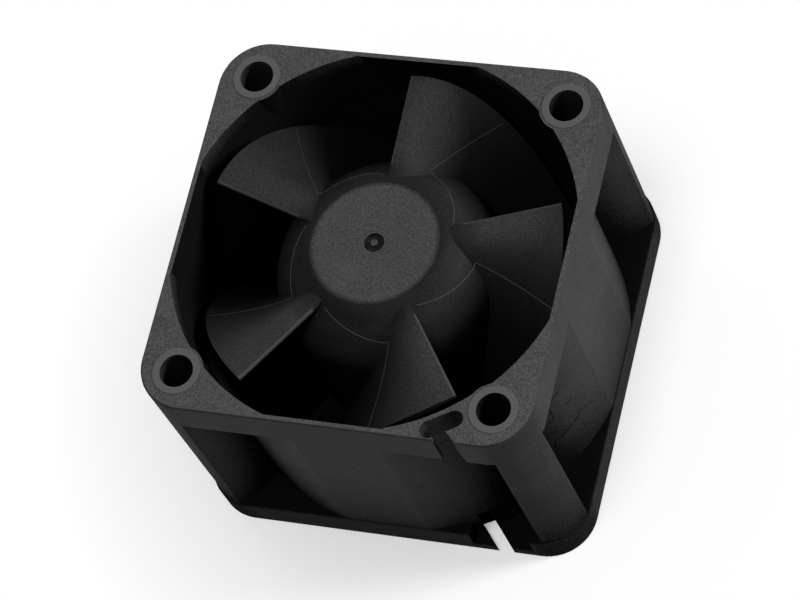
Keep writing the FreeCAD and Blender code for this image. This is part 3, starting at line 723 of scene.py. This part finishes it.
class DressBearings(bpy.types.Operator):
    """Finish both ball bearings."""

    bl_idname = "server_fan.dress_bearings"
    bl_label = "Bearings"

    def execute(self, context):
        colors = context.scene.server_fan_colors
        ring = turned_metal("bearing_steel", colors.bearing_steel, roughness=0.18, groove=0.06 * MM)
        cage = turned_metal("cage_steel", colors.cage_steel, roughness=0.4, groove=0.1 * MM)
        ball = speckled("ball_steel", colors.bearing_steel, roughness=0.08, grain_size=0.3 * MM,
                        spread=0.03, relief=0.0005 * MM, metallic=1.0)
        for place in ("front", "rear"):
            paint(ring, f"{place}_bearing_outer", f"{place}_bearing_inner")
            paint(ball, f"{place}_bearing_balls")
            paint(cage, f"{place}_bearing_cage")
        return {"FINISHED"}


class DressMotor(bpy.types.Operator):
    """Finish the stator core, its insulators and the circuit board with its parts."""

    bl_idname = "server_fan.dress_motor"
    bl_label = "Motor"

    def execute(self, context):
        colors = context.scene.server_fan_colors
        nylon = speckled("insulator_nylon", colors.nylon, roughness=0.45, grain_size=0.2 * MM,
                         spread=0.06)
        epoxy = speckled("chip_epoxy", colors.epoxy, roughness=0.55, grain_size=0.05 * MM,
                         spread=0.25, relief=0.008 * MM)
        ceramic = speckled("component_ceramic", colors.ceramic, roughness=0.5, grain_size=0.1 * MM)
        pins = speckled("tinned_pins", colors.tin, roughness=0.25, grain_size=0.2 * MM,
                        spread=0.08, relief=0.003 * MM, metallic=1.0)
        solder = speckled("solder", colors.tin, roughness=0.16, grain_size=0.4 * MM,
                          spread=0.06, relief=0.003 * MM, metallic=1.0)
        paint(stacked_laminations(colors.core_steel), "stator_core")
        paint(nylon, "stator_insulator_front", "stator_insulator_rear")
        paint(board_laminate(colors.board_mask), "circuit_board")
        paint(epoxy, "driver_chip", "hall_sensor")
        paint(ceramic, "board_components")
        paint(pins, "winding_pins")
        paint(solder, "solder_joints")
        return {"FINISHED"}


class WindCoils(bpy.types.Operator):
    """Wind a layer of enamelled wire over each coil."""

    bl_idname = "server_fan.wind_coils"
    bl_label = "Windings"

    def execute(self, context):
        colors = context.scene.server_fan_colors
        marks = context.scene.server_fan_marks
        copper = speckled("copper_winding", colors.copper, roughness=0.28, grain_size=0.3 * MM,
                          spread=0.2, relief=0.002 * MM, coat=0.5, metallic=0.9)
        low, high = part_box("coil_1")
        for index in range(POLE_COUNT):
            paint(copper, f"coil_{index + 1}")
            turns = wire_turns(low, high, COIL_CORNER, marks.wire, marks.turns)
            turns.transform(Matrix.Rotation(math.tau * index / POLE_COUNT, 4, "Z"))
            add_piece(f"winding_{index + 1}", joined("winding", [turns]), copper, "frame")
        return {"FINISHED"}


class DrawWitnessLines(bpy.types.Operator):
    """Raise the fine parting lines that the mould leaves on the hub and blades."""

    bl_idname = "server_fan.draw_witness_lines"
    bl_label = "Witness lines"

    def execute(self, context):
        marks = context.scene.server_fan_marks
        colors = context.scene.server_fan_colors
        source = bmesh.new()
        source.from_mesh(frame["nodes"]["impeller"].data)
        tree = BVHTree.FromBMesh(source)
        source.free()
        for name, shape, color in (("hub_lines", HUB_LINE, colors.hub_line),
                                   ("blade_lines", BLADE_LINE, colors.blade_line)):
            plastic = speckled(name, color, roughness=0.6, grain_size=0.1 * MM, spread=0.1)
            beads = []
            for blade in range(BLADE_COUNT):
                turn = LINE_START + 360 * blade / BLADE_COUNT
                points = [(radius * MM, turn + angle) for radius, angle in shape]
                path = draped(tree, curve_stations(points, LINE_STATIONS))
                beads.append(bead(path, marks.line_width, marks.line_height))
            add_piece(name, joined(name, beads), plastic, "rotor")
        return {"FINISHED"}


class RaiseArrows(bpy.types.Operator):
    """Mould the air-flow and rotation arrows on the side of the barrel."""

    bl_idname = "server_fan.raise_arrows"
    bl_label = "Side arrows"

    def execute(self, context):
        marks = context.scene.server_fan_marks
        plates = [wrapped_plate([(angle, z * MM) for angle, z in outline], BARREL_RADIUS,
                                marks.arrow_height)
                  for outline in (FLOW_ARROW, SPIN_ARROW)]
        plastic = frame["nodes"]["housing"].data.materials[0]
        add_piece("side_arrows", joined("side_arrows", plates, smooth=False), plastic, "frame")
        return {"FINISHED"}


class SetStage(bpy.types.Operator):
    """Add the floor, the light and the camera."""

    bl_idname = "server_fan.set_stage"
    bl_label = "Stage"

    def execute(self, context):
        scene = context.scene
        stage = scene.server_fan_stage
        self.add_floor(scene, tuple(stage.floor), stage.floor_radius)
        self.add_sky(scene, stage.sky)
        self.add_lamp(scene, "key", KEY_PLACE, stage.key)
        self.add_lamp(scene, "side_lamp", SIDE_PLACE, stage.side_lamp)
        self.add_lamp(scene, "back_lamp", BACK_PLACE, stage.back_lamp)
        self.add_camera(scene, stage.lens, stage.roll)
        scene.view_settings.view_transform = "Standard"
        return {"FINISHED"}

    def add_floor(self, scene, color, radius):
        """White sheet that takes a light shadow and fades out into the white surroundings.

        It is greyer to scattered light, so that it lights the sides softly from below, and a
        black round of painted shadow under the duct keeps light from shining up through the fan."""
        mesh = bmesh.new()
        bmesh.ops.create_circle(mesh, cap_ends=True, segments=FLOOR_SIDES, radius=radius)
        floor = bpy.data.objects.new("floor", joined("floor", [mesh], smooth=False))
        floor.location.z = CAD_BOX[0][2]
        finish = Finish("floor_paper", color, 0.9)
        finish.set("Specular IOR Level", 0.0)
        place = finish.place()
        x, y, z = finish.split(place)
        from_centre = (x * x + y * y).root()
        # Painted shadow: the floor under the duct is near black.
        bore_shadow = from_centre < BORE_RADIUS
        fibre = finish.noise(4 * MM, 3.0, 0.5, place)
        paper = finish.blend(fibre, scaled(color, 0.995), color)
        seen = finish.blend(finish.ray("Diffuse"), paper, scaled(color, SCATTER_SHARE))
        finish.set("Base Color", finish.blend(bore_shadow, seen, BORE_SHADOW_BLACK))
        fade = finish.ramp(from_centre / radius, (0.48, 0.65), (1.0, 0.0))
        finish.set("Alpha", fade.larger(bore_shadow))
        floor.data.materials.append(finish.material)
        scene.collection.objects.link(floor)

    def add_sky(self, scene, strength):
        """Even light; the camera, reflections and clear materials see plain white."""
        world = bpy.data.worlds.new("studio")
        world.use_nodes = True
        nodes = Nodes(world.node_tree)
        seen = nodes.ray("Camera").larger(nodes.ray("Glossy")).larger(nodes.ray("Transmission"))
        background = world.node_tree.nodes["Background"]
        nodes.feed(background.inputs["Color"], (1.0, 1.0, 1.0, 1.0))
        nodes.feed(background.inputs["Strength"], seen * (1 - strength) + strength)
        scene.world = world

    def add_lamp(self, scene, name, place, strength):
        """Round soft lamp aimed at the fan, set by the light it adds to a white floor there."""
        lamp = bpy.data.lights.new(name, "AREA")
        lamp.shape = "DISK"
        lamp.size = LAMP_WIDTH
        lamp.energy = strength * math.pi ** 2 * place.length ** 3 / place.z
        holder = bpy.data.objects.new(name, lamp)
        holder.location = place
        holder.rotation_euler = (-place).to_track_quat("-Z", "Y").to_euler()
        scene.collection.objects.link(holder)

    def add_camera(self, scene, lens, roll):
        """Camera above the corner of the fan that has the wire slot."""
        forward = (CAMERA_TARGET - CAMERA_PLACE).normalized()
        upright = Vector((-math.sin(roll), math.cos(roll), 0))
        right = forward.cross(upright).normalized()
        axes = Matrix((right, right.cross(forward), -forward)).transposed()
        camera = bpy.data.objects.new("camera", bpy.data.cameras.new("camera"))
        camera.data.lens = lens
        camera.data.clip_start = 1 * MM
        camera.matrix_world = Matrix.Translation(CAMERA_PLACE) @ axes.to_4x4()
        scene.collection.objects.link(camera)
        scene.camera = camera


# ------------------------------------------------------------------- panel

PROPERTY_GROUPS = {"server_fan_colors": ServerFanColors, "server_fan_marks": ServerFanMarks,
                   "server_fan_stage": ServerFanStage}
OPERATORS = (DressFrame, DressImpeller, DressRotor, DressBearings, DressMotor, WindCoils,
             DrawWitnessLines, RaiseArrows, SetStage)


class ServerFanPanel(bpy.types.Panel):
    """Pieces, sizes and colours of the fan."""

    bl_idname = "VIEW3D_PT_server_fan"
    bl_label = "Server fan"
    bl_space_type = "VIEW_3D"
    bl_region_type = "UI"
    bl_category = "Server fan"

    def draw(self, context):
        for operator in OPERATORS:
            self.layout.operator(operator.bl_idname)
        for group in PROPERTY_GROUPS:
            box = self.layout.box()
            values = getattr(context.scene, group)
            for name in values.__annotations__:
                box.prop(values, name)


CLASSES = (*PROPERTY_GROUPS.values(), *OPERATORS, ServerFanPanel)


def register():
    """Register the classes and attach the property groups to the scene."""
    for item in CLASSES:
        bpy.utils.register_class(item)
    for name, group in PROPERTY_GROUPS.items():
        setattr(bpy.types.Scene, name, PointerProperty(type=group))


def unregister():
    """Undo register."""
    for name in PROPERTY_GROUPS:
        delattr(bpy.types.Scene, name)
    for item in reversed(CLASSES):
        bpy.utils.unregister_class(item)


def main():
    """Build everything in order."""
    register()
    for operator in OPERATORS:
        group, name = operator.bl_idname.split(".")
        getattr(getattr(bpy.ops, group), name)()


if __name__ == "__main__":
    main()
